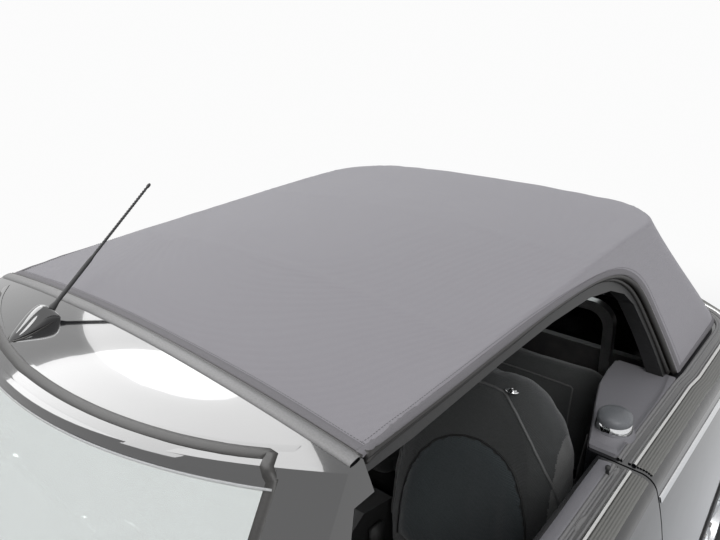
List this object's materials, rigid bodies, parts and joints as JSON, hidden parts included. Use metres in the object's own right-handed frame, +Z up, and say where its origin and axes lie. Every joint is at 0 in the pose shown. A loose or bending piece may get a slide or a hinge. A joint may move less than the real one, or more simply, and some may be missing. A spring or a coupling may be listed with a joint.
{
  "type": "convertible car",
  "caption": "Small four-seat convertible car with its fabric top up, opening doors, bonnet and drop-down boot lid, steering and rolling wheels.",
  "frame": {"origin": "on the ground under the middle of the car's length and width", "axes": "+X to the car's left, -Y to its front, +Z up"},
  "size_m": [1.9096, 3.7235, 1.5918],
  "materials": {
    "paint": "gloss black lacquer",
    "gloss_black": "gloss",
    "black": "satin",
    "trim_black": "grained",
    "glass": "clear",
    "fabric": "woven",
    "frame_black": "satin",
    "chrome": "polished",
    "lamp_red": "gloss",
    "lamp_clear": "gloss",
    "interior": "grained",
    "interior_grey": "grained",
    "seat": "woven",
    "hoop": "satin",
    "frame": "satin",
    "underbody": "matt",
    "engine": "cast",
    "steel": "satin",
    "alloy": "satin",
    "tyre": "matt"
  },
  "bodies": {
    "body": {"floor_pan": "underbody", "front_frame": "frame", "engine_block": "engine", "scuttle": "paint", "wing_left": "paint", "wing_right": "paint", "front_bumper": "paint", "intake_grille": "black", "rear_bumper": "paint", "side_left": "paint", "side_right": "paint", "tail_panel": "paint", "cladding_left": "trim_black", "cladding_right": "trim_black", "windscreen_frame": "gloss_black", "windscreen": "glass", "soft_top": "fabric", "rear_window": "glass", "top_frame": "frame_black", "belt_trim": "chrome", "tail_lamps": "lamp_red", "dashboard": "interior", "console": "interior", "steering_column": "interior", "front_seat_left": "seat", "front_seat_right": "seat", "rear_bench": "seat", "roll_hoops": "hoop", "side_trim_left": "interior_grey", "side_trim_right": "interior_grey", "antenna": "gloss_black", "rear_axle": "frame", "exhaust": "steel"},
    "bonnet": {"bonnet": "paint", "headlamps": "lamp_clear", "grille": "chrome"},
    "boot_lid": {"boot_lid": "paint"},
    "door_left": {"door_left": "paint"},
    "door_right": {"door_right": "paint"},
    "knuckle_left": {"knuckle_left": "frame"},
    "knuckle_right": {"knuckle_right": "frame"},
    "steering_wheel": {"steering_wheel": "interior"},
    "wheel_front_left": {"rim_front_left": "alloy", "tyre_front_left": "tyre"},
    "wheel_front_right": {"rim_front_right": "alloy", "tyre_front_right": "tyre"},
    "wheel_rear_left": {"rim_rear_left": "alloy", "tyre_rear_left": "tyre"},
    "wheel_rear_right": {"rim_rear_right": "alloy", "tyre_rear_right": "tyre"}
  },
  "joints": [
    {"name": "steer_left", "type": "hinge", "parent": "body", "child": "knuckle_left", "pos_m": [0.705, -1.131, 0.3105], "axis": [0, 0, 1], "range_deg": [-33, 33]},
    {"name": "steer_right", "type": "hinge", "parent": "body", "child": "knuckle_right", "pos_m": [-0.705, -1.131, 0.3105], "axis": [0, 0, 1], "range_deg": [-33, 33]},
    {"name": "steering_wheel_turn", "type": "hinge", "parent": "body", "child": "steering_wheel", "pos_m": [0.37, -0.13, 0.79], "axis": [0, 0.9292, 0.3697], "range_deg": [-430, 430]},
    {"name": "spin_front_left", "type": "hinge", "parent": "knuckle_left", "child": "wheel_front_left", "pos_m": [0.73, -1.131, 0.3105], "axis": [1, 0, 0], "continuous": true},
    {"name": "spin_front_right", "type": "hinge", "parent": "knuckle_right", "child": "wheel_front_right", "pos_m": [-0.73, -1.131, 0.3105], "axis": [1, 0, 0], "continuous": true},
    {"name": "spin_rear_left", "type": "hinge", "parent": "body", "child": "wheel_rear_left", "pos_m": [0.73, 1.336, 0.3105], "axis": [1, 0, 0], "continuous": true},
    {"name": "spin_rear_right", "type": "hinge", "parent": "body", "child": "wheel_rear_right", "pos_m": [-0.73, 1.336, 0.3105], "axis": [1, 0, 0], "continuous": true},
    {"name": "door_left_swing", "type": "hinge", "parent": "body", "child": "door_left", "pos_m": [0.822, -0.658, 0.65], "axis": [0, 0, -1], "range_deg": [0, 70]},
    {"name": "door_right_swing", "type": "hinge", "parent": "body", "child": "door_right", "pos_m": [-0.822, -0.658, 0.65], "axis": [0, 0, 1], "range_deg": [0, 70]},
    {"name": "bonnet_lift", "type": "hinge", "parent": "body", "child": "bonnet", "pos_m": [0, -0.65, 0.888], "axis": [-1, 0, 0], "range_deg": [0, 50]},
    {"name": "boot_lid_drop", "type": "hinge", "parent": "body", "child": "boot_lid", "pos_m": [0, 1.853, 0.556], "axis": [-1, 0, 0], "range_deg": [0, 88]}
  ],
  "couplings": [
    {"joint": "steer_right", "follows": "steer_left", "ratio": 1},
    {"joint": "steering_wheel_turn", "follows": "steer_left", "ratio": 13}
  ]
}
